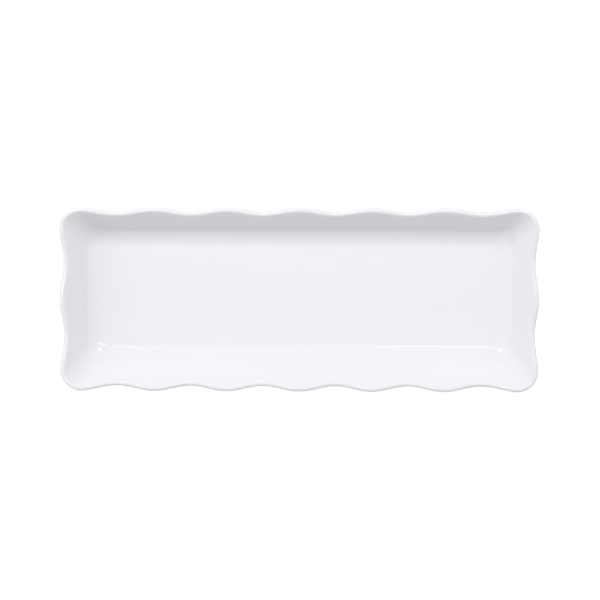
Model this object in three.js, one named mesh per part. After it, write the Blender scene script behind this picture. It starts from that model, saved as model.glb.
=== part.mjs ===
// A shallow china serving platter with a scalloped rim, in millimetres, +Z up.
// X runs along the platter, Y across it, and z = 0 is the plane that the foot ring stands on.
// The origin is the middle of that plane.
//
// The platter is one fired china body under two coats of glaze. The upper coat covers the floor,
// the walls and the rim, and stops on the outside of the foot ring. The lower coat covers the
// recess inside the foot ring. The bearing edge of the foot stays bare.

import * as THREE from 'three';
import { mergeVertices } from 'three/addons/utils/BufferGeometryUtils.js';

const degree = Math.PI / 180;

// Overall size, over the glaze, from crest to crest of the rim.
const overallLength = 393.7;
const overallWidth = 152.4;
const overallHeight = 38;

// The rim in plan: straight sides between round corners, with troughs cut back from the outline.
const rimCornerRadius = 17.5;
const longSideWaves = 6;
const shortSideWaves = 2;
const sideWaveDepth = 3.9;
const endWaveDepth = 3.4;
const cornerEase = 0.8; // under 1, the wave next to a corner falls away sooner than a cosine

// The section, from the edge of the flat floor outwards: a cove, a soft crease, a flared wall.
const sideWallRun = 33.6; // rim to floor in plan, along the two long sides
const endWallRun = 31.7; // the same at the two ends
const coveRun = 11.3;
const coveRise = 4.6;
const coveTopAngle = 30 * degree;
const rimAngle = 50 * degree;
const wallThickness = 4.5;
const floorThickness = 5;
const coveCornerRadius = 11;
const floorCornerRadius = 8;

// The foot ring and the glaze.
const footHeight = 3;
const footReach = 3.5; // how far up the cove the outside of the foot meets the wall
const footWidth = 4;
const footDraft = 0.5; // how far each side of the foot leans in, down to the end of the glaze
const footEase = 0.7; // the rounding of each edge of the bearing face
const glazeThickness = 0.3;
const glazeStop = 1; // height of the bare edge above the bearing face

// How finely the curves are divided.
const stepsPerWave = 8;
const stepsPerCorner = 6;
const stepsUpCove = 3;
const stepsUpWall = 3;
const stepsRoundLip = 4;

const lipRadius = wallThickness / 2;
const lipRun = lipRadius * (1 + Math.sin(rimAngle));
const wallRun = sideWallRun - lipRun - coveRun;
const fullRun = coveRun + wallRun;
const endWallShare = (endWallRun - lipRun - coveRun) / wallRun;
const floorTop = footHeight + floorThickness;
const wallRise = overallHeight - lipRadius * (1 - Math.cos(rimAngle)) - floorTop - coveRise;
const lipCornerRadius = rimCornerRadius - lipRun;

// A stretch of wall is a parabola, set by its run, its rise and the slope at its upper end.
function stretch(run, rise, endAngle) {
  const endSlope = Math.tan(endAngle);
  const bend = (endSlope * run - rise) / run ** 2;
  return { startSlope: endSlope - 2 * bend * run, bend };
}

const cove = stretch(coveRun, coveRise, coveTopAngle);
const wall = stretch(wallRun, wallRise, rimAngle);

// Height of the glazed surface at a plan distance outwards from the edge of the floor.
function surfaceHeight(run) {
  if (run <= coveRun) return floorTop + cove.startSlope * run + cove.bend * run ** 2;
  const past = run - coveRun;
  return floorTop + coveRise + wall.startSlope * past + wall.bend * past ** 2;
}

// Slope angle of the same surface. A ring on a bend takes the mean of the two sides.
function surfaceAngle(run) {
  if (run === 0) return Math.atan(cove.startSlope) / 2;
  if (run < coveRun) return Math.atan(cove.startSlope + 2 * cove.bend * run);
  if (run === coveRun) return (coveTopAngle + Math.atan(wall.startSlope)) / 2;
  return Math.atan(wall.startSlope + 2 * wall.bend * (run - coveRun));
}

function surfaceCornerRadius(run) {
  const { lerp } = THREE.MathUtils;
  if (run <= coveRun) return lerp(floorCornerRadius, coveCornerRadius, run / coveRun);
  return lerp(coveCornerRadius, lipCornerRadius, (run - coveRun) / wallRun);
}

// Half sizes of the rectangle through the centres of the corner arcs.
function cornerCentre(run) {
  const left = fullRun - run;
  const wallLeft = Math.min(left, wallRun);
  const endLeft = left - wallLeft + wallLeft * endWallShare;
  return new THREE.Vector2(
    overallLength / 2 - lipRun - endLeft - surfaceCornerRadius(run),
    overallWidth / 2 - lipRun - left - surfaceCornerRadius(run),
  );
}

// Stations round the plan, anticlockwise from above. Each has its outward direction, its place on
// the rectangle of corner centres in shares of the half sizes, and how far the rim is cut back.
function planStations() {
  const stations = [];
  const longSide = [longSideWaves, sideWaveDepth];
  const shortSide = [shortSideWaves, endWaveDepth];
  [longSide, shortSide, longSide, shortSide].forEach(([waves, waveDepth], index) => {
    const turn = (index - 1) * 90 * degree;
    const outward = new THREE.Vector2(Math.round(Math.cos(turn)), Math.round(Math.sin(turn)));
    const onward = new THREE.Vector2(-outward.y, outward.x);
    const steps = waves * stepsPerWave;
    for (let step = 0; step < steps; step += 1) {
      const share = outward.clone().addScaledVector(onward, (2 * step) / steps - 1);
      stations.push({ outward, share, cut: rimCut(step / stepsPerWave, waves, waveDepth) });
    }
    const share = outward.clone().add(onward);
    for (let step = 0; step < stepsPerCorner; step += 1) {
      const angle = turn + (90 * degree * step) / stepsPerCorner;
      const direction = new THREE.Vector2(Math.cos(angle), Math.sin(angle));
      stations.push({ outward: direction, share, cut: 0 });
    }
  });
  return stations;
}

// How far the rim is cut back, so many waves along a side that has a crest at both its ends.
function rimCut(along, waves, waveDepth) {
  const nearest = Math.min(along, waves - along);
  const phase = nearest < 0.5 ? 0.5 * (2 * nearest) ** cornerEase : nearest;
  return (waveDepth * (1 - Math.cos(2 * Math.PI * phase))) / 2;
}

const stations = planStations();

// The trough shortens the wall above the crease and leaves the surface itself unrippled.
function trimmedRun(station, run) {
  if (run <= coveRun) return run;
  return coveRun + (run - coveRun) * (1 - station.cut / wallRun);
}

function planPoint(station, run, radius, height) {
  const across = cornerCentre(trimmedRun(station, run));
  const along = cornerCentre(run);
  const { outward, share } = station;
  const centreX = share.x * (outward.x === 0 ? along.x : across.x);
  const centreY = share.y * (outward.y === 0 ? along.y : across.y);
  return new THREE.Vector3(centreX + outward.x * radius, centreY + outward.y * radius, height);
}

// A ring at one place up the wall and one depth under the glazed surface.
function wallRing(run, depth) {
  return stations.map((station) => {
    const trimmed = trimmedRun(station, run);
    const angle = surfaceAngle(trimmed);
    const radius = surfaceCornerRadius(trimmed) + depth * Math.sin(angle);
    return planPoint(station, run, radius, surfaceHeight(trimmed) - depth * Math.cos(angle));
  });
}

// A ring on the round lip, turned from the inner face of the wall towards the outer face.
function lipRing(turn, sectionRadius) {
  return stations.map((station) => {
    const trimmed = trimmedRun(station, fullRun);
    const angle = surfaceAngle(trimmed);
    const centreRadius = surfaceCornerRadius(trimmed) + lipRadius * Math.sin(angle);
    const centreHeight = surfaceHeight(trimmed) - lipRadius * Math.cos(angle);
    const radius = centreRadius - sectionRadius * Math.sin(angle - turn);
    return planPoint(station, fullRun, radius, centreHeight + sectionRadius * Math.cos(angle - turn));
  });
}

function footRing(radius, height) {
  return stations.map((station) => planPoint(station, 0, radius, height));
}

// The wall thickens over the cove, from the wall's own thickness to the floor's.
function thickness(run) {
  const share = Math.min(run / coveRun, 1);
  return THREE.MathUtils.lerp(floorThickness, wallThickness, share);
}

const coveRuns = [];
for (let step = 0; step < stepsUpCove; step += 1) coveRuns.push((coveRun * step) / stepsUpCove);
const wallRuns = [];
for (let step = 0; step < stepsUpWall; step += 1) wallRuns.push(coveRun + (wallRun * step) / stepsUpWall);

// The rings of one face, from the edge of the floor, round the lip, down to the foot. inset is the
// depth of that face under the glazed surface: 0 for the glaze itself.
function upperRings(inset) {
  const inner = [...coveRuns, ...wallRuns].map((run) => wallRing(run, inset));
  const lip = [];
  for (let step = 0; step <= stepsRoundLip; step += 1) {
    lip.push(lipRing((Math.PI * step) / stepsRoundLip, lipRadius - inset));
  }
  const outerRuns = [...coveRuns.filter((run) => run > footReach), ...wallRuns].reverse();
  const outer = [...outerRuns, footReach].map((run) => wallRing(run, thickness(run) - inset));
  return [...inner, ...lip, ...outer, footRing(footOuterRadius + footDraft - inset, glazeStop)];
}

// Radii of the foot ring, about the centres of the floor's corner arcs.
const footTop = wallRing(footReach, thickness(footReach));
const footHalfWidth = Math.max(...footTop.map((point) => point.y));
const footOuterRadius = footHalfWidth - cornerCentre(0).y - 2 * footDraft;
const footInnerRadius = footOuterRadius - footWidth;

function recessRings(inset) {
  return [
    footRing(footInnerRadius - footDraft + inset, glazeStop),
    footRing(footInnerRadius - 2 * footDraft + inset, footHeight + inset),
  ];
}

function disc(ring, height, facing) {
  const middle = new THREE.Vector3(0, 0, height);
  return ring.map((point, index) => {
    const next = ring[(index + 1) % ring.length];
    return facing > 0 ? [middle, point, next] : [middle, next, point];
  });
}

// Triangles between rings that follow one another outwards over the top, or inwards underneath.
function sheet(rings) {
  const triangles = [];
  for (let row = 0; row < rings.length - 1; row += 1) {
    const [near, far] = [rings[row], rings[row + 1]];
    near.forEach((point, index) => {
      const next = (index + 1) % near.length;
      triangles.push([point, far[index], far[next]]);
      triangles.push([point, far[next], near[next]]);
    });
  }
  return triangles;
}

function reversed(triangles) {
  return triangles.map(([a, b, c]) => [a, c, b]);
}

function meshOf(name, triangles, material) {
  const geometry = new THREE.BufferGeometry().setFromPoints(triangles.flat());
  const mesh = new THREE.Mesh(mergeVertices(geometry), material);
  mesh.geometry.computeVertexNormals();
  mesh.name = name;
  return mesh;
}

const bodyUpper = upperRings(glazeThickness);
const bodyRecess = recessRings(0);
const bodyFoot = [
  bodyUpper.at(-1),
  footRing(footOuterRadius - glazeThickness - footEase / 2, footEase / 2),
  footRing(footOuterRadius - glazeThickness - footEase, 0),
  footRing(footInnerRadius + footEase, 0),
  footRing(footInnerRadius + footEase / 2, footEase / 2),
  bodyRecess[0],
];
const bodyUpperFace = [
  ...disc(bodyUpper[0], floorTop - glazeThickness, 1),
  ...sheet(bodyUpper),
];
const bodyRecessFace = [
  ...sheet(bodyRecess),
  ...disc(bodyRecess[1], footHeight, -1),
];

const glazeUpper = upperRings(0);
const glazeUpperFace = [
  ...disc(glazeUpper[0], floorTop, 1),
  ...sheet(glazeUpper),
  ...sheet([glazeUpper.at(-1), bodyUpper.at(-1)]),
  ...reversed(bodyUpperFace),
];

const glazeRecess = recessRings(-glazeThickness);
const glazeRecessFace = [
  ...reversed(bodyRecessFace),
  ...sheet([bodyRecess[0], glazeRecess[0]]),
  ...sheet(glazeRecess),
  ...disc(glazeRecess[1], footHeight - glazeThickness, -1),
];

const firedChina = new THREE.MeshStandardMaterial({ color: 0xe9e5dc, roughness: 0.75, metalness: 0 });
const clearGlaze = new THREE.MeshStandardMaterial({ color: 0xf0eff4, roughness: 0.12, metalness: 0 });
const recessGlaze = new THREE.MeshStandardMaterial({ color: 0xeeedf0, roughness: 0.18, metalness: 0 });

const platter = new THREE.Group();
platter.name = 'serving_platter';
platter.add(meshOf('china_body', [...bodyUpperFace, ...sheet(bodyFoot), ...bodyRecessFace], firedChina));
platter.add(meshOf('glaze_upper', glazeUpperFace, clearGlaze));
platter.add(meshOf('glaze_underside', glazeRecessFace, recessGlaze));

export default platter;
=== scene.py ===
import math
import bpy
from mathutils import Matrix, Vector


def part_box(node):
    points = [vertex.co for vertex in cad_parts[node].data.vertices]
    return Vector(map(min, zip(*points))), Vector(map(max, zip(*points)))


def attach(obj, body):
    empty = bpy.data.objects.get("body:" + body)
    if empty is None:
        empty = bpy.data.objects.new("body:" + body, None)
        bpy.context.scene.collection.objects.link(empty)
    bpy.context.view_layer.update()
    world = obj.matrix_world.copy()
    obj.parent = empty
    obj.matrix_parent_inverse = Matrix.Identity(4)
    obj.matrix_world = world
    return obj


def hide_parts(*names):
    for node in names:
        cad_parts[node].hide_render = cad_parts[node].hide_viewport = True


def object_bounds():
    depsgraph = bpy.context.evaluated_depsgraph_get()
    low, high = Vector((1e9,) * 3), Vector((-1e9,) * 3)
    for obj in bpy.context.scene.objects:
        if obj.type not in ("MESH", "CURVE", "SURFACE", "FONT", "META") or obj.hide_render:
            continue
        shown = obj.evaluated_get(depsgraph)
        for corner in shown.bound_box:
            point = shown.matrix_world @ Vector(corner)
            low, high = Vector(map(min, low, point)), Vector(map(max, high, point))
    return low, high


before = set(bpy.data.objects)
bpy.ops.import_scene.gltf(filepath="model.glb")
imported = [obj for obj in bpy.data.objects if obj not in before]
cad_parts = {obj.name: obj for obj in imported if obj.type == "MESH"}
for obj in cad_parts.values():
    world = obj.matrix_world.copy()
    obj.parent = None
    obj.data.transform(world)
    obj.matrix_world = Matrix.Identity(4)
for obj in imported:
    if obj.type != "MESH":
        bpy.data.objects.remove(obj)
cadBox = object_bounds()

print("frame loaded:", ", ".join(sorted(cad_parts)))

mm = 0.001
degree = math.pi / 180


# A wire is one output of a node tree. Sums written with wires add their Math nodes.
class Wire:
    def __init__(self, tree, socket):
        self.tree = tree
        self.socket = socket

    def math(self, operation, *values):
        return self.tree.node("ShaderNodeMath", {"operation": operation}, dict(enumerate(values)))

    def __add__(self, other):
        return self.math("ADD", self, other)

    def __radd__(self, other):
        return self.math("ADD", other, self)

    def __sub__(self, other):
        return self.math("SUBTRACT", self, other)

    def __rsub__(self, other):
        return self.math("SUBTRACT", other, self)

    def __mul__(self, other):
        return self.math("MULTIPLY", self, other)

    def __rmul__(self, other):
        return self.math("MULTIPLY", other, self)

    def __truediv__(self, other):
        return self.math("DIVIDE", self, other)

    def __pow__(self, other):
        return self.math("POWER", self, other)

    def __mod__(self, other):
        return self.math("MODULO", self, other)

    def __gt__(self, other):
        return self.math("GREATER_THAN", self, other)

    def __abs__(self):
        return self.math("ABSOLUTE", self)

    def sine(self):
        return self.math("SINE", self)

    def cosine(self):
        return self.math("COSINE", self)

    def tangent(self):
        return self.math("TANGENT", self)

    def angleOfSlope(self):
        return self.math("ARCTANGENT", self)

    def floor(self):
        return self.math("FLOOR", self)

    def ceiling(self):
        return self.math("CEIL", self)

    # with an ease, the two run into each other in a smooth bend
    def atLeast(self, other, ease=0):
        if ease:
            return self.math("SMOOTH_MAX", self, other, ease)
        return self.math("MAXIMUM", self, other)

    def atMost(self, other, ease=0):
        if ease:
            return self.math("SMOOTH_MIN", self, other, ease)
        return self.math("MINIMUM", self, other)

    # 0 up to start, 1 from end, even in between
    def walk(self, start, end):
        sockets = {"Value": self, "From Min": start, "From Max": end}
        return self.tree.node("ShaderNodeMapRange", {"clamp": True}, sockets)


# One method makes every node: its settings come first, then the values or wires of its sockets.
class Tree:
    def __init__(self, tree):
        self.tree = tree

    def node(self, kind, settings=None, sockets=None, out=0):
        made = self.tree.nodes.new(kind)
        for name, value in (settings or {}).items():
            setattr(made, name, value)
        for key, value in (sockets or {}).items():
            if isinstance(value, Wire):
                self.tree.links.new(value.socket, made.inputs[key])
            else:
                made.inputs[key].default_value = value
        return Wire(self, made.outputs[out]) if made.outputs else None

    # the Mix node's colour sockets go by number: inputs 6 and 7, output 2
    def mixColor(self, factor, first, second):
        sockets = {0: factor, 6: first, 7: second}
        return self.node("ShaderNodeMix", {"data_type": "RGBA"}, sockets, out=2)


# The camera stands almost over the platter, a little past its far side and to the right.
cameraPlace = {
    "distance": 2.89,
    "tiltPastFarSide": 8.0 * degree,
    "tiltToRight": 1.4 * degree,
    "widthSeen": 492 * mm,  # at the height of the rim
    "sensor": 36.0,  # in millimetres, as the lens is
    "aimX": 0.9 * mm,
    "aimY": 0.2 * mm,
    "nearest": 0.05,
    "farthest": 30,
}


def makeCamera(settings):
    rimHeight = cadBox[1][2]
    aim = Vector((settings["aimX"], settings["aimY"], rimHeight))
    right = math.sin(settings["tiltToRight"])
    past = math.sin(settings["tiltPastFarSide"])
    back = Vector((right, past, math.sqrt(1 - right**2 - past**2)))
    across = Vector((0, 1, 0)).cross(back).normalized()
    upward = back.cross(across)
    data = bpy.data.cameras.new("camera")
    data.sensor_width = settings["sensor"]
    data.lens = settings["sensor"] * settings["distance"] / settings["widthSeen"]
    data.clip_start = settings["nearest"]
    data.clip_end = settings["farthest"]
    camera = bpy.data.objects.new("camera", data)
    turn = Matrix((across, upward, back)).transposed().to_4x4()
    camera.matrix_world = Matrix.Translation(aim + back * settings["distance"]) @ turn
    bpy.context.collection.objects.link(camera)
    bpy.context.scene.camera = camera


makeCamera(cameraPlace)
print("camera placed")


# Sizes of the platter. The overall sizes, the foot's height and the glaze stop come from the frame.
# The section runs from the edge of the flat floor outwards: a cove, a crease, a flared wall, a lip.
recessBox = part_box("glaze_underside")
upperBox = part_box("glaze_upper")
platter = {
    "Length": cadBox[1][0] - cadBox[0][0],
    "Width": cadBox[1][1] - cadBox[0][1],
    "Height": cadBox[1][2],
    "Rim corner radius": 17.5 * mm,
    "Long side waves": 6.0,
    "Short side waves": 2.0,
    "Side wave depth": 3.9 * mm,
    "End wave depth": 3.4 * mm,
    "Corner ease": 0.8,  # under 1, the wave next to a corner falls away sooner than a cosine
    "Side wall run": 33.6 * mm,  # rim to floor in plan, along the two long sides
    "End wall run": 31.7 * mm,  # the same at the two ends
    "Cove run": 11.3 * mm,
    "Cove rise": 4.6 * mm,
    "Cove top angle": 30 * degree,
    "Rim angle": 50 * degree,
    "Wall thickness": 4.5 * mm,
    "Floor thickness": 5 * mm,
    "Cove corner radius": 11 * mm,
    "Floor corner radius": 8 * mm,
    "Foot height": recessBox[1][2],
    "Foot reach": 3.5 * mm,  # how far up the cove the outside of the foot meets the wall
    "Foot width": 4 * mm,
    "Foot draft": 0.5 * mm,  # how far each side of the foot leans in, down to the end of the glaze
    "Foot ease": 0.7 * mm,  # the rounding of each edge of the bearing face
    "Recess fillet": 1.2 * mm,
    "Glaze thickness": 0.3 * mm,
    "Glaze stop": upperBox[0][2],  # height of the bare edge above the bearing face
    "Floor bend": 2.2 * mm,  # how softly the floor turns up into the cove
    "Crease bend": 3.2 * mm,
    "Corner softening": 1.6,  # how much wider both bends grow in the middle of a corner
}
# How many faces go to each stretch of the plan and of the section.
divisions = {
    "perWave": 24,
    "perCorner": 14,
    "floor": 8,
    "floorBend": 14,
    "cove": 6,
    "creaseBend": 8,
    "wall": 8,
    "lip": 16,
    "outerWall": 7,
    "outerCrease": 5,
    "outerCove": 4,
    "footFace": 6,
    "outerEdge": 6,
    "bearing": 2,
    "innerEdge": 6,
    "recessCorner": 6,
    "recess": 5,
}
bendLead = 5 * mm  # how far the close rows reach on both sides of the floor's bend
creaseLead = 4 * mm  # and on both sides of the crease between cove and wall
slopeStep = 0.05 * mm  # how far apart two heights are taken to find a slope
mergeDistance = 0.001 * mm
sharpAngle = 50 * degree  # edges that turn further stay sharp


def aroundCounts():
    longCount = int(platter["Long side waves"]) * divisions["perWave"]
    shortCount = int(platter["Short side waves"]) * divisions["perWave"]
    return longCount, shortCount, divisions["perCorner"]


def upperCount():
    names = ("floor", "floorBend", "cove", "creaseBend", "wall", "lip")
    names += ("outerWall", "outerCrease", "outerCove", "footFace")
    return sum(divisions[name] for name in names)


def footCount():
    return divisions["outerEdge"] + divisions["bearing"] + divisions["innerEdge"]


def recessCount():
    return divisions["recessCorner"] + divisions["recess"]


# The plan: where each column of the grid stands round the platter. Two corners and a side of
# each kind make half of the way round, and the other half is the same, turned by half a turn.
def planWires(column, size):
    longCount, shortCount, cornerCount = aroundCounts()
    half = longCount + shortCount + 2 * cornerCount
    column = column % (2 * half)
    secondHalf = (column + 0.5) > half
    onHalf = column - half * secondHalf
    sign = 1 - 2 * secondHalf
    longWalk = onHalf.walk(0, longCount)
    firstTurn = onHalf.walk(longCount, longCount + cornerCount)
    shortWalk = onHalf.walk(longCount + cornerCount, half - cornerCount)
    secondTurn = onHalf.walk(half - cornerCount, half)
    angle = (firstTurn + secondTurn - 1) * (math.pi / 2)
    cut = rimCut(longWalk, size["Long side waves"], size["Side wave depth"], size)
    cut = cut + rimCut(shortWalk, size["Short side waves"], size["End wave depth"], size)
    return {
        "sign": sign,
        "outX": angle.cosine(),
        "outY": angle.sine(),
        "shareX": longWalk * 2 - 1,
        "shareY": shortWalk * 2 - 1,
        "onLongSide": 1 - firstTurn.ceiling(),
        "onShortSide": firstTurn.floor() - secondTurn.ceiling(),
        "cut": cut,
        "corner": 4 * (firstTurn * (1 - firstTurn) + secondTurn * (1 - secondTurn)),
    }


# How far a trough is cut back. The half wave next to a corner falls away sooner.
def rimCut(walk, waves, depth, size):
    along = walk * waves
    nearest = along.atMost(waves - along)
    eased = 0.5 * (nearest * 2).atMost(1) ** size["Corner ease"]
    phase = eased + (nearest - 0.5).atLeast(0)
    return depth * (1 - (phase * (2 * math.pi)).cosine()) * 0.5


# The start slope and the bend of a parabola that climbs by rise over run and leaves at endSlope.
def stretch(run, rise, endSlope):
    bend = (endSlope * run - rise) / (run * run)
    return endSlope - 2 * bend * run, bend


def derivedSizes(size):
    lipRadius = size["Wall thickness"] * 0.5
    lipRun = lipRadius * (1 + size["Rim angle"].sine())
    wallRun = size["Side wall run"] - lipRun - size["Cove run"]
    fullRun = size["Cove run"] + wallRun
    floorTop = size["Foot height"] + size["Floor thickness"]
    lipDrop = lipRadius * (1 - size["Rim angle"].cosine())
    wallRise = size["Height"] - lipDrop - floorTop - size["Cove rise"]
    size.update({
        "lipRun": lipRun,
        "wallRun": wallRun,
        "fullRun": fullRun,
        "endWallShare": (size["End wall run"] - lipRun - size["Cove run"]) / wallRun,
        "floorTop": floorTop,
        "lipCornerRadius": size["Rim corner radius"] - lipRun,
        "cove": stretch(size["Cove run"], size["Cove rise"], size["Cove top angle"].tangent()),
        "wall": stretch(wallRun, wallRise, size["Rim angle"].tangent()),
    })


# The run is measured in plan from the edge of the flat floor, outwards over the glazed surface.
def runParts(run, size, corner):
    wider = 1 + size["Corner softening"] * corner
    climbing = run.atLeast(0, size["Floor bend"] * wider)
    inCove = climbing.atMost(size["Cove run"], size["Crease bend"] * wider)
    return inCove, climbing - inCove


def surfaceHeight(run, size, corner=0):
    inCove, inWall = runParts(run, size, corner)
    coveSlope, coveBend = size["cove"]
    wallSlope, wallBend = size["wall"]
    rise = inCove * (coveSlope + coveBend * inCove) + inWall * (wallSlope + wallBend * inWall)
    return size["floorTop"] + rise


def surfaceAngle(run, size, corner=0):
    before = surfaceHeight(run - slopeStep, size, corner)
    after = surfaceHeight(run + slopeStep, size, corner)
    return ((after - before) / (2 * slopeStep)).angleOfSlope()


def cornerRadius(run, size):
    inCove = run.atMost(size["Cove run"], size["Crease bend"])
    coveGrowth = (size["Cove corner radius"] - size["Floor corner radius"]) / size["Cove run"]
    wallGrowth = (size["lipCornerRadius"] - size["Cove corner radius"]) / size["wallRun"]
    return size["Floor corner radius"] + inCove * coveGrowth + (run - inCove) * wallGrowth


def cornerCentre(run, size):
    left = size["fullRun"] - run
    wallLeft = left.atMost(size["wallRun"])
    endLeft = left - wallLeft + wallLeft * size["endWallShare"]
    radius = cornerRadius(run, size)
    halfLength = size["Length"] * 0.5 - size["lipRun"] - endLeft
    halfWidth = size["Width"] * 0.5 - size["lipRun"] - left
    return halfLength - radius, halfWidth - radius


def mixed(first, second, share):
    return first + (second - first) * share


# One point of the wall: how far up it, and how far turned round the middle of its thickness.
def wallPoint(run, turn, inset, plan, size):
    spare = (run - size["Cove run"]).atLeast(0)
    trimmed = run - spare * plan["cut"] / size["wallRun"]
    angle = surfaceAngle(trimmed, size, plan["corner"])
    thickening = (size["Floor thickness"] - size["Wall thickness"]) * 0.5
    overCove = 1 - (trimmed / size["Cove run"]).atMost(1)
    halfThickness = size["Wall thickness"] * 0.5 + thickening * overCove
    sectionRadius = halfThickness - inset
    radius = cornerRadius(trimmed, size) + halfThickness * angle.sine()
    radius = radius - sectionRadius * (angle - turn).sine()
    height = surfaceHeight(trimmed, size, plan["corner"]) - halfThickness * angle.cosine()
    height = height + sectionRadius * (angle - turn).cosine()
    fullCentre = cornerCentre(run, size)
    trimCentre = cornerCentre(trimmed, size)
    centreX = mixed(trimCentre[0], fullCentre[0], plan["onLongSide"])
    centreY = mixed(trimCentre[1], fullCentre[1], plan["onShortSide"])
    return centreX, centreY, radius, height


# Radii of the foot ring, about the corner centres of the floor.
def footRadii(size):
    reach = size["Foot reach"]
    angle = surfaceAngle(reach, size)
    thinning = (size["Floor thickness"] - size["Wall thickness"]) * reach / size["Cove run"]
    standOff = (size["Floor thickness"] - thinning) * angle.sine()
    floorCentre = cornerCentre(reach * 0, size)  # a run of 0, as a wire
    reachCentre = cornerCentre(reach, size)
    outer = reachCentre[1] + cornerRadius(reach, size) + standOff - floorCentre[1]
    outer = outer - 2 * size["Foot draft"]
    return floorCentre, outer, outer - size["Foot width"]


# The foot and the recess: radius about the corner centres of the floor, and height.
def footPoint(walks, inset, outerRadius, innerRadius, size):
    quarter = math.pi / 2
    outerEdge = walks["outerEdge"] * quarter
    innerEdge = walks["innerEdge"] * quarter
    recessCorner = walks["recessCorner"] * quarter
    glazed = size["Glaze thickness"] - inset  # thickness of glaze over the china here
    outerFace = outerRadius + size["Foot draft"] - inset
    outerBearing = outerRadius - size["Glaze thickness"] - size["Foot ease"]
    innerBearing = innerRadius + size["Foot ease"]
    innerFace = innerRadius - size["Foot draft"]
    radius = outerFace - (outerFace - outerBearing) * (1 - outerEdge.cosine())
    radius = radius - (outerBearing - innerBearing) * walks["bearing"]
    radius = radius - (innerBearing - innerFace) * innerEdge.sine()
    radius = radius - size["Recess fillet"] * (1 - recessCorner.cosine())
    radius = radius - glazed * walks["innerEdge"].floor()
    height = size["Glaze stop"] * (2 - outerEdge.sine() - innerEdge.cosine())
    ceiling = size["Foot height"] - glazed - size["Glaze stop"]
    return radius, height + ceiling * recessCorner.sine()


# The section: where each row of the grid stands, and the point that it makes with its column.
# Each part of it lists how far the run goes on over it, or None where the run stays.
def skinPoint(stop, inset, plan, size):
    parts = {
        "floor": None,
        "floorBend": 2 * bendLead,
        "cove": size["Cove run"] - (bendLead + creaseLead),
        "creaseBend": 2 * creaseLead,
        "wall": size["wallRun"] - creaseLead,
        "lip": None,
        "outerWall": creaseLead - size["wallRun"],
        "outerCrease": -2 * creaseLead,
        "outerCove": size["Foot reach"] - size["Cove run"] + creaseLead,
        "footFace": None,
        "outerEdge": None,
        "bearing": None,
        "innerEdge": None,
        "recessCorner": None,
        "recess": None,
    }
    run = -bendLead
    start = 0
    walks = {}
    for name, advance in parts.items():
        walks[name] = stop.walk(start, start + divisions[name])
        start += divisions[name]
        if advance is not None:
            run = walks[name] * advance + run

    wallX, wallY, wallRadius, wallHeight = wallPoint(run, walks["lip"] * math.pi, inset, plan, size)
    floorCentre, outerRadius, innerRadius = footRadii(size)
    footRadius, footHeight = footPoint(walks, inset, outerRadius, innerRadius, size)
    footTurn = walks["footFace"] * (math.pi / 2)
    intoFoot = footTurn.sine()
    downFoot = 1 - footTurn.cosine()
    spread = walks["floor"] * (1 - walks["recess"]) * plan["sign"]
    radius = mixed(wallRadius, footRadius, intoFoot)
    pointX = mixed(wallX, floorCentre[0], intoFoot) * plan["shareX"] + radius * plan["outX"]
    pointY = mixed(wallY, floorCentre[1], intoFoot) * plan["shareY"] + radius * plan["outY"]
    pointZ = mixed(wallHeight, footHeight, downFoot)
    return pointX * spread, pointY * spread, pointZ, run, walks["lip"]


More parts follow.
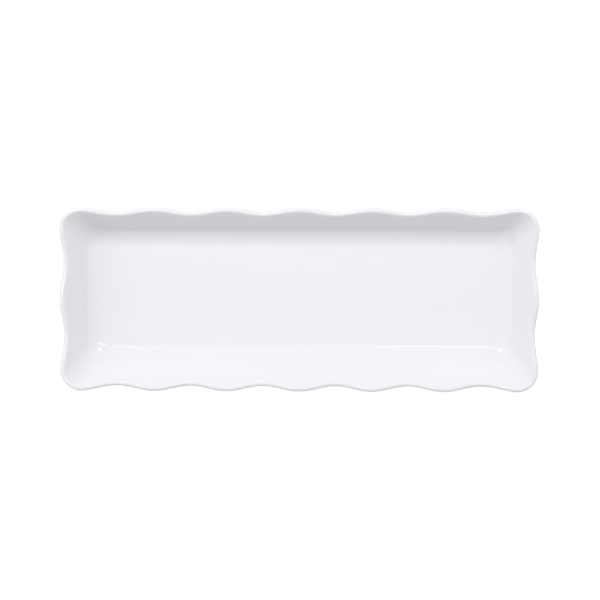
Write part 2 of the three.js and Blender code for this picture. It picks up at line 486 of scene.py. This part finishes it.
# A coat of glaze is folded over at its edge: rows go both ways from the fold, over the same stops,
# on the face of the glaze and on the china under it. The stop at the fold is edge, and heading
# says which way the stops go from it. Cover is 0 for rows on the face of the glaze and 1 for rows
# on the china. The body isn't folded, so its fold lies before its first row.
def skinTree(name, piece):
    group = bpy.data.node_groups.new(name, "GeometryNodeTree")
    group.interface.new_socket("Geometry", in_out="OUTPUT", socket_type="NodeSocketGeometry")
    names = {}
    for key in platter:
        names[key] = group.interface.new_socket(key, in_out="INPUT", socket_type="NodeSocketFloat")
    tree = Tree(group)
    size = {key: tree.node("NodeGroupInput", out=key) for key in platter}
    derivedSizes(size)

    columns = 2 * sum(aroundCounts()) + 2 * divisions["perCorner"]
    rows = piece["rows"]
    grid = tree.node("GeometryNodeMeshGrid", {}, {
        "Size X": rows - 1.0, "Size Y": float(columns),
        "Vertices X": rows, "Vertices Y": columns + 1,
    })
    place = tree.node("GeometryNodeInputPosition")
    gridX = tree.node("ShaderNodeSeparateXYZ", {}, {0: place}, out="X")
    gridY = tree.node("ShaderNodeSeparateXYZ", {}, {0: place}, out="Y")
    row = (gridX + (rows - 1) / 2 + 0.5).floor()
    column = (gridY + columns / 2 + 0.5).floor()

    fold = piece["fold"]
    stop = (abs(row - fold) - 0.5) * piece["heading"] + piece["edge"]
    inset = size["Glaze thickness"] * mixed(piece["coverBefore"], piece["coverAfter"], row > fold)
    plan = planWires(column, size)
    pointX, pointY, pointZ, run, turn = skinPoint(stop, inset, plan, size)
    point = tree.node("ShaderNodeCombineXYZ", {}, {0: pointX, 1: pointY, 2: pointZ})

    mesh = grid
    for attribute, value in {"run": run, "turn": turn}.items():
        mesh = tree.node("GeometryNodeStoreNamedAttribute", {"data_type": "FLOAT", "domain": "POINT"},
                         {"Geometry": mesh, "Name": attribute, "Value": value})
    mesh = tree.node("GeometryNodeSetPosition", {}, {"Geometry": mesh, "Position": point})
    mesh = tree.node("GeometryNodeMergeByDistance", {}, {"Geometry": mesh, "Distance": mergeDistance})
    mesh = tree.node("GeometryNodeSetShadeSmooth", {}, {"Geometry": mesh, "Shade Smooth": True})
    bend = tree.node("GeometryNodeInputMeshEdgeAngle", {}, {}, out="Unsigned Angle")
    mesh = tree.node("GeometryNodeSetShadeSmooth", {"domain": "EDGE"},
                     {"Geometry": mesh, "Selection": bend > sharpAngle, "Shade Smooth": False})
    mesh = tree.node("GeometryNodeRealizeInstances", {}, {"Geometry": mesh})
    mesh = tree.node("GeometryNodeSetMaterial", {}, {"Geometry": mesh, "Material": piece["material"]})
    tree.node("NodeGroupOutput", {}, {"Geometry": mesh})
    return group, {key: socket.identifier for key, socket in names.items()}


def makeSkin(name, piece, cadNode):
    group, identifiers = skinTree(name + "Rule", piece)
    rough = bpy.data.objects.new(name + "Rough", bpy.data.meshes.new(name + "Rough"))
    bpy.context.collection.objects.link(rough)
    modifier = rough.modifiers.new("skin", "NODES")
    modifier.node_group = group
    for key, value in platter.items():
        modifier[identifiers[key]] = value
    evaluated = rough.evaluated_get(bpy.context.evaluated_depsgraph_get())
    mesh = bpy.data.meshes.new_from_object(evaluated)
    mesh.name = name
    finished = bpy.data.objects.new(name, mesh)
    bpy.context.collection.objects.link(finished)
    rough.modifiers.remove(modifier)
    bpy.data.objects.remove(rough)
    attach(finished, "root")
    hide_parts(cadNode)
    print(name, "has", len(mesh.polygons), "faces")


def newMaterial(name):
    material = bpy.data.materials.new(name)
    material.use_nodes = True
    material.node_tree.nodes.clear()
    return material, Tree(material.node_tree)


def finishMaterial(tree, shader):
    tree.node("ShaderNodeOutputMaterial", {}, {"Surface": shader})


def bump(tree, height):
    return tree.node("ShaderNodeBump", {}, {"Strength": 1.0, "Distance": 1.0, "Height": height})


def noise(tree, place, scale, detail, roughness):
    sockets = {"Vector": place, "Scale": scale, "Detail": detail, "Roughness": roughness}
    return tree.node("ShaderNodeTexNoise", {}, sockets, out="Fac")


glaze = {
    "white": (0.868, 0.861, 0.894, 1),
    "pooled": (0.85, 0.846, 0.885, 1),
    "poolInCove": 0.35,
    "poolInClouds": 0.5,
    "poolEdge": (0.3, 1.0),  # where the pool fades, as a share of the cove's run from its middle
    "thinGlazeAndShade": (0.845, 0.84, 0.868, 1),  # thinner glaze and painted shade along the outer edge of the lip
    "lipShadeTurn": (0.3, 0.6),  # where the painted shade sets in on the way round the lip
    "lipShadeRun": (25 * mm, 29 * mm),  # and on the way up the wall
    "roughness": 0.07,
    "roughnessSpread": 0.05,
    "waveHeight": 0.016 * mm,
    "peelHeight": 0.0016 * mm,
    "refraction": 1.52,
    # scale, detail and roughness of each noise
    "clouds": (14.0, 2.0, 0.5),
    "waves": (45.0, 1.0, 0.5),
    "peel": (420.0, 1.0, 0.5),
    "rubs": (30.0, 4.0, 0.65),
}


def glazeMaterial(name, settings):
    material, tree = newMaterial(name)
    place = tree.node("ShaderNodeTexCoord", {}, {}, out="Object")
    run = tree.node("ShaderNodeAttribute", {"attribute_name": "run"}, {}, out="Fac")
    turn = tree.node("ShaderNodeAttribute", {"attribute_name": "turn"}, {}, out="Fac")
    inCove = 1 - abs(run / platter["Cove run"] - 0.5).walk(*settings["poolEdge"])
    clouds = noise(tree, place, *settings["clouds"])
    pooled = inCove * settings["poolInCove"] + clouds * settings["poolInClouds"]
    # Painted shade: the lip's outer edge is darkened, partly for thinner glaze and partly standing in
    # for shade that falls there.
    lipEdgeShade = turn.walk(*settings["lipShadeTurn"]) * run.walk(*settings["lipShadeRun"])
    color = tree.mixColor(pooled, settings["white"], settings["pooled"])
    color = tree.mixColor(lipEdgeShade, color, settings["thinGlazeAndShade"])
    waves = noise(tree, place, *settings["waves"])
    peel = noise(tree, place, *settings["peel"])
    height = waves * settings["waveHeight"] + peel * settings["peelHeight"]
    rubs = noise(tree, place, *settings["rubs"])
    finishMaterial(tree, tree.node("ShaderNodeBsdfPrincipled", {}, {
        "Base Color": color,
        "Roughness": rubs * settings["roughnessSpread"] + settings["roughness"],
        "Normal": bump(tree, height),
        "IOR": settings["refraction"],
    }))
    return material


bareChina = {
    "clean": (0.78, 0.745, 0.68, 1),
    "stained": (0.56, 0.52, 0.46, 1),
    "stainFromWear": 0.75,
    "stainFromGrain": 0.15,
    "wearEdge": (0.24, 0.42),
    "roughness": 0.7,
    "grainRougher": 0.15,
    "wearSmoother": 0.12,
    "grainHeight": 0.03 * mm,
    # scale, detail and roughness of each noise
    "patches": (60.0, 4.0, 0.7),
    "scuffs": (500.0, 3.0, 0.7),
    "grain": (2600.0, 2.0, 0.5),
}


def bareChinaMaterial(name, settings):
    material, tree = newMaterial(name)
    place = tree.node("ShaderNodeTexCoord", {}, {}, out="Object")
    patches = noise(tree, place, *settings["patches"])
    scuffs = noise(tree, place, *settings["scuffs"])
    grain = noise(tree, place, *settings["grain"])
    worn = (patches * scuffs).walk(*settings["wearEdge"])
    stain = worn * settings["stainFromWear"] + grain * settings["stainFromGrain"]
    rougher = grain * settings["grainRougher"] - worn * settings["wearSmoother"]
    finishMaterial(tree, tree.node("ShaderNodeBsdfPrincipled", {}, {
        "Base Color": tree.mixColor(stain, settings["clean"], settings["stained"]),
        "Roughness": settings["roughness"] + rougher,
        "Normal": bump(tree, grain * settings["grainHeight"]),
    }))
    return material


whiteGlaze = glazeMaterial("whiteGlaze", glaze)
recessCoat = dict(glaze, roughness=0.2, waveHeight=0.05 * mm)  # duller and less even
recessGlaze = glazeMaterial("recessGlaze", recessCoat)
firedChina = bareChinaMaterial("firedChina", bareChina)

upper = upperCount()
whole = upper + footCount() + recessCount()
skins = {
    "upperGlaze": {
        "rows": 2 * upper + 2, "fold": upper + 0.5, "heading": -1, "edge": upper,
        "coverBefore": 0, "coverAfter": 1, "material": whiteGlaze,
    },
    "chinaBody": {
        "rows": whole + 1, "fold": -0.5, "heading": 1, "edge": 0,
        "coverBefore": 1, "coverAfter": 1, "material": firedChina,
    },
    "undersideGlaze": {
        "rows": 2 * recessCount() + 2, "fold": recessCount() + 0.5, "heading": 1,
        "edge": upper + footCount(),
        "coverBefore": 1, "coverAfter": 0, "material": recessGlaze,
    },
}
makeSkin("upperGlaze", skins["upperGlaze"], "glaze_upper")
makeSkin("chinaBody", skins["chinaBody"], "china_body")
makeSkin("undersideGlaze", skins["undersideGlaze"], "glaze_underside")
print("platter made")


# A soft light brightens surfaces without a mirror image of itself in the glaze. A highlight is
# only that mirror image, and hangs level over the platter.
studio = {
    "floorHalf": 4.0,
    "floorRoughness": 0.9,
    "floorShine": 0.2,
    "floors": {
        "seenFloor": {"height": 0, "color": (0.3, 0.3, 0.305, 1), "glow": 0.86},
        "bounceFloor": {"height": -0.5 * mm, "color": (0.84, 0.84, 0.85, 1), "glow": 0},
    },
    "surround": 0.372,
    "nearSurround": 0.127,  # how much brighter the surround is on the near side
    "lights": {
        "leftSoftbox": {
            "does": "soft light", "place": (-2.2, 0.3, 1.0), "size": (1.8, 1.2), "power": 11.8,
        },
        "rightSoftbox": {
            "does": "soft light", "place": (2.1, 0.6, 1.0), "size": (1.8, 1.2), "power": 7.8,
        },
        "farLeftSoftbox": {
            "does": "soft light", "place": (-0.9, 1.1, 1.9), "size": (1.5, 1.2), "power": 22.9,
        },
        "farRightSoftbox": {
            "does": "soft light", "place": (0.9, 1.1, 1.9), "size": (1.5, 1.2), "power": 17.3,
        },
        "strip": {
            "does": "highlight", "place": (0.15, 0.11, 1.9), "size": (0.34, 0.13), "power": 1.0,
        },
        "stub": {
            "does": "highlight", "place": (-0.29, 0.38, 1.9), "size": (0.07, 0.16), "power": 0.32,
        },
        "leftLamp": {
            "does": "highlight", "place": (-0.53, 0.58, 1.9), "size": (0.24, 0.24), "power": 4.4,
        },
        "rightLamp": {
            "does": "highlight", "place": (0.4, 0.62, 1.9), "size": (0.22, 0.22), "power": 3.4,
        },
    },
}


def makeFloor(name):
    half = studio["floorHalf"]
    settings = studio["floors"][name]
    mesh = bpy.data.meshes.new(name)
    corners = [(-half, -half), (half, -half), (half, half), (-half, half)]
    mesh.from_pydata([(x, y, settings["height"]) for x, y in corners], [], [(0, 1, 2, 3)])
    floor = bpy.data.objects.new(name, mesh)
    bpy.context.collection.objects.link(floor)
    material, tree = newMaterial(name)
    finishMaterial(tree, tree.node("ShaderNodeBsdfPrincipled", {}, {
        "Base Color": settings["color"],
        "Roughness": studio["floorRoughness"],
        "Specular IOR Level": studio["floorShine"],
        "Emission Color": (1, 1, 1, 1),
        "Emission Strength": settings["glow"],
    }))
    mesh.materials.append(material)
    return floor


# One plane is the pale floor that is seen. The one just under it only throws light back up.
def makeFloors():
    seenFloor = makeFloor("seenFloor")
    seenFloor.visible_diffuse = False
    seenFloor.visible_glossy = False
    seenFloor.visible_shadow = False
    bounceFloor = makeFloor("bounceFloor")
    bounceFloor.visible_camera = False


def makeLight(name, settings):
    soft = settings["does"] == "soft light"
    data = bpy.data.lights.new(name, "AREA")
    data.shape = "RECTANGLE"
    data.size, data.size_y = settings["size"]
    data.energy = settings["power"]
    light = bpy.data.objects.new(name, data)
    light.location = settings["place"]
    light.visible_glossy = not soft
    light.visible_diffuse = soft
    if soft:
        aim = -Vector(settings["place"])
        light.rotation_euler = aim.to_track_quat("-Z", "Y").to_euler()
    bpy.context.collection.objects.link(light)


def makeSurround(settings):
    world = bpy.data.worlds.new("surround")
    bpy.context.scene.world = world
    world.use_nodes = True
    world.node_tree.nodes.clear()
    tree = Tree(world.node_tree)
    place = tree.node("ShaderNodeTexCoord", {}, {}, out="Generated")
    toFar = tree.node("ShaderNodeSeparateXYZ", {}, {0: place}, out="Y")
    strength = settings["surround"] - toFar * settings["nearSurround"]
    glow = tree.node("ShaderNodeBackground", {}, {"Color": (1, 1, 1, 1), "Strength": strength})
    tree.node("ShaderNodeOutputWorld", {}, {"Surface": glow})
    bpy.context.scene.view_settings.view_transform = "Standard"


makeFloors()
makeSurround(studio)
for lightName, lightSettings in studio["lights"].items():
    makeLight(lightName, lightSettings)
print("studio lit")
